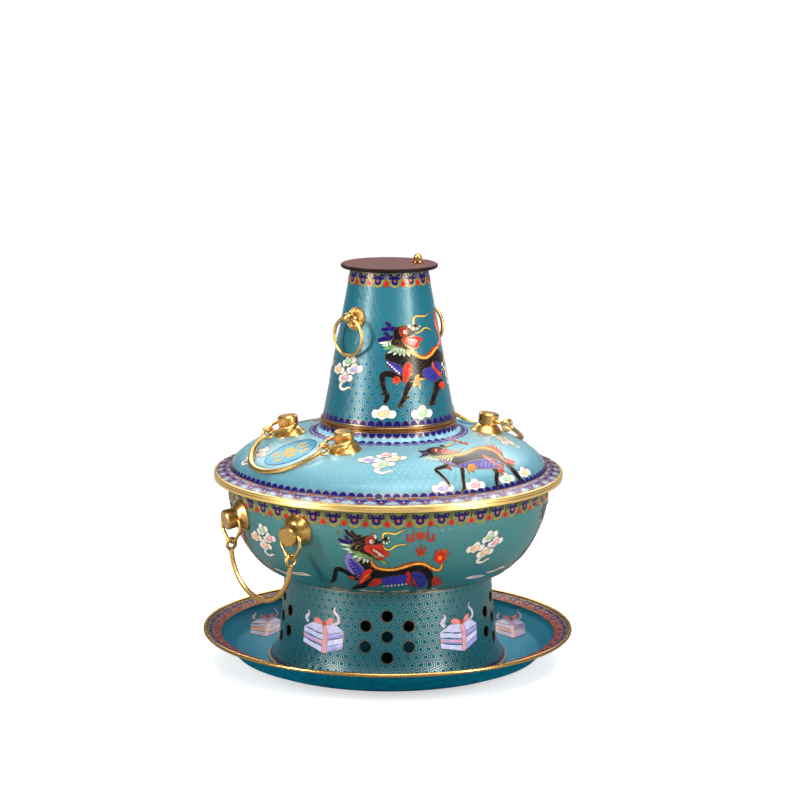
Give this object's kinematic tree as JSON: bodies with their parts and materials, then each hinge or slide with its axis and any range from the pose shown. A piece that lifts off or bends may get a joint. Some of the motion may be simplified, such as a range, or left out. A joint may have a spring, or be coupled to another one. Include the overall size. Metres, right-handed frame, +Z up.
{
  "type": "chimney hot pot",
  "caption": "Charcoal hot pot in cloisonne enamel on a drip tray, with a lift-off lid, flue cone, swivel damper, drop bails on linked studs and ring pulls",
  "frame": {"origin": "on the table plane at the middle of the tray, under the common axis of tray, bowl, lid and chimney", "axes": "+Z up along the common axis, -Y the front with a vent group facing it, +X to the right as seen from the front"},
  "size_m": [0.362, 0.362, 0.4014],
  "materials": {
    "tray": "cloisonne enamel, dark teal, gilt rolled rim",
    "base_enamel": "cloisonne enamel, teal with gilt wire ground",
    "bowl_enamel": "cloisonne enamel, teal with gilt wire ground",
    "lid_enamel": "cloisonne enamel, light turquoise with gilt wire ground",
    "chimney_enamel": "cloisonne enamel, teal with gilt wire ground",
    "bare_copper": "plain copper alloy, dull",
    "iron": "rough cast iron",
    "gilt": "gilt brass, polished",
    "plate_copper": "brown patinated copper, satin"
  },
  "bodies": {
    "tray": {"tray": "tray"},
    "pot": {"stove_base": "base_enamel", "bowl": "bowl_enamel", "fire_tube": "bare_copper", "charcoal_grate": "iron", "pot_stud_1": "gilt", "pot_stud_2": "gilt", "pot_stud_3": "gilt", "pot_stud_4": "gilt"},
    "lid": {"lid": "lid_enamel", "lid_stud_1": "gilt", "lid_stud_2": "gilt", "lid_stud_3": "gilt", "lid_stud_4": "gilt"},
    "chimney": {"chimney": "chimney_enamel", "chimney_base_ring": "gilt", "pull_boss_1": "gilt", "pull_boss_2": "gilt", "damper_lug": "gilt", "damper_pin": "gilt", "damper_nut": "gilt"},
    "damper": {"damper_plate": "plate_copper"},
    "pot_link_1": {"pot_link_1": "gilt"},
    "lid_link_1": {"lid_link_1": "gilt"},
    "pot_link_2": {"pot_link_2": "gilt"},
    "lid_link_2": {"lid_link_2": "gilt"},
    "pot_link_3": {"pot_link_3": "gilt"},
    "lid_link_3": {"lid_link_3": "gilt"},
    "pot_link_4": {"pot_link_4": "gilt"},
    "lid_link_4": {"lid_link_4": "gilt"},
    "pot_bail_1": {"pot_bail_1": "gilt"},
    "lid_bail_1": {"lid_bail_1": "gilt"},
    "pull_ring_1": {"pull_ring_1": "gilt"},
    "pot_bail_2": {"pot_bail_2": "gilt"},
    "lid_bail_2": {"lid_bail_2": "gilt"},
    "pull_ring_2": {"pull_ring_2": "gilt"}
  },
  "joints": [
    {"name": "pot_lift", "type": "slide", "parent": "tray", "child": "pot", "axis": [0, 0, 1], "range_m": [0, 0.12]},
    {"name": "lid_lift", "type": "slide", "parent": "pot", "child": "lid", "axis": [0, 0, 1], "range_m": [0, 0.15]},
    {"name": "chimney_lift", "type": "slide", "parent": "lid", "child": "chimney", "axis": [0, 0, 1], "range_m": [0, 0.1]},
    {"name": "damper_swivel", "type": "hinge", "parent": "chimney", "child": "damper", "pos_m": [0.0274, 0.00786, 0.389], "axis": [0, 0, 1], "continuous": true},
    {"name": "pot_link_1_hinge", "type": "hinge", "parent": "pot", "child": "pot_link_1", "pos_m": [-0.08995, -0.13851, 0.15641], "axis": [-0.6593, 0.7518, 0], "range_deg": [-10, 120]},
    {"name": "pot_link_2_hinge", "type": "hinge", "parent": "pot", "child": "pot_link_2", "pos_m": [-0.14907, -0.0711, 0.15641], "axis": [-0.6593, 0.7518, 0], "range_deg": [-10, 120]},
    {"name": "pot_bail_1_hinge", "type": "hinge", "parent": "pot_link_1", "child": "pot_bail_1", "pos_m": [-0.08995, -0.13851, 0.13341], "axis": [-0.6593, 0.7518, 0], "range_deg": [-20, 60]},
    {"name": "pot_link_3_hinge", "type": "hinge", "parent": "pot", "child": "pot_link_3", "pos_m": [0.08995, 0.13851, 0.15641], "axis": [0.6593, -0.7518, 0], "range_deg": [-10, 120]},
    {"name": "pot_link_4_hinge", "type": "hinge", "parent": "pot", "child": "pot_link_4", "pos_m": [0.14907, 0.0711, 0.15641], "axis": [0.6593, -0.7518, 0], "range_deg": [-10, 120]},
    {"name": "pot_bail_2_hinge", "type": "hinge", "parent": "pot_link_3", "child": "pot_bail_2", "pos_m": [0.08995, 0.13851, 0.13341], "axis": [0.6593, -0.7518, 0], "range_deg": [-20, 60]},
    {"name": "lid_link_1_hinge", "type": "hinge", "parent": "lid", "child": "lid_link_1", "pos_m": [-0.04123, -0.08841, 0.23822], "axis": [-0.5771, 0.8166, 0], "range_deg": [0, 100]},
    {"name": "lid_link_2_hinge", "type": "hinge", "parent": "lid", "child": "lid_link_2", "pos_m": [-0.0971, -0.00935, 0.23822], "axis": [-0.5771, 0.8166, 0], "range_deg": [0, 100]},
    {"name": "lid_bail_1_hinge", "type": "hinge", "parent": "lid_link_1", "child": "lid_bail_1", "pos_m": [-0.05909, -0.10103, 0.23111], "axis": [-0.5771, 0.8166, 0], "range_deg": [0, 50]},
    {"name": "lid_link_3_hinge", "type": "hinge", "parent": "lid", "child": "lid_link_3", "pos_m": [0.04123, 0.08841, 0.23822], "axis": [0.5771, -0.8166, 0], "range_deg": [0, 100]},
    {"name": "lid_link_4_hinge", "type": "hinge", "parent": "lid", "child": "lid_link_4", "pos_m": [0.0971, 0.00935, 0.23822], "axis": [0.5771, -0.8166, 0], "range_deg": [0, 100]},
    {"name": "lid_bail_2_hinge", "type": "hinge", "parent": "lid_link_3", "child": "lid_bail_2", "pos_m": [0.05909, 0.10103, 0.23111], "axis": [0.5771, -0.8166, 0], "range_deg": [0, 50]},
    {"name": "pull_ring_1_hinge", "type": "hinge", "parent": "chimney", "child": "pull_ring_1", "pos_m": [-0.03873, -0.04081, 0.34551], "axis": [-0.7254, 0.6884, 0], "range_deg": [-3, 110]},
    {"name": "pull_ring_2_hinge", "type": "hinge", "parent": "chimney", "child": "pull_ring_2", "pos_m": [0.03873, 0.04081, 0.34551], "axis": [0.7254, -0.6884, 0], "range_deg": [-3, 110]}
  ],
  "couplings": [
    {"joint": "pot_link_2_hinge", "follows": "pot_link_1_hinge", "ratio": 1},
    {"joint": "pot_link_4_hinge", "follows": "pot_link_3_hinge", "ratio": 1},
    {"joint": "lid_link_2_hinge", "follows": "lid_link_1_hinge", "ratio": 1},
    {"joint": "lid_link_4_hinge", "follows": "lid_link_3_hinge", "ratio": 1}
  ]
}
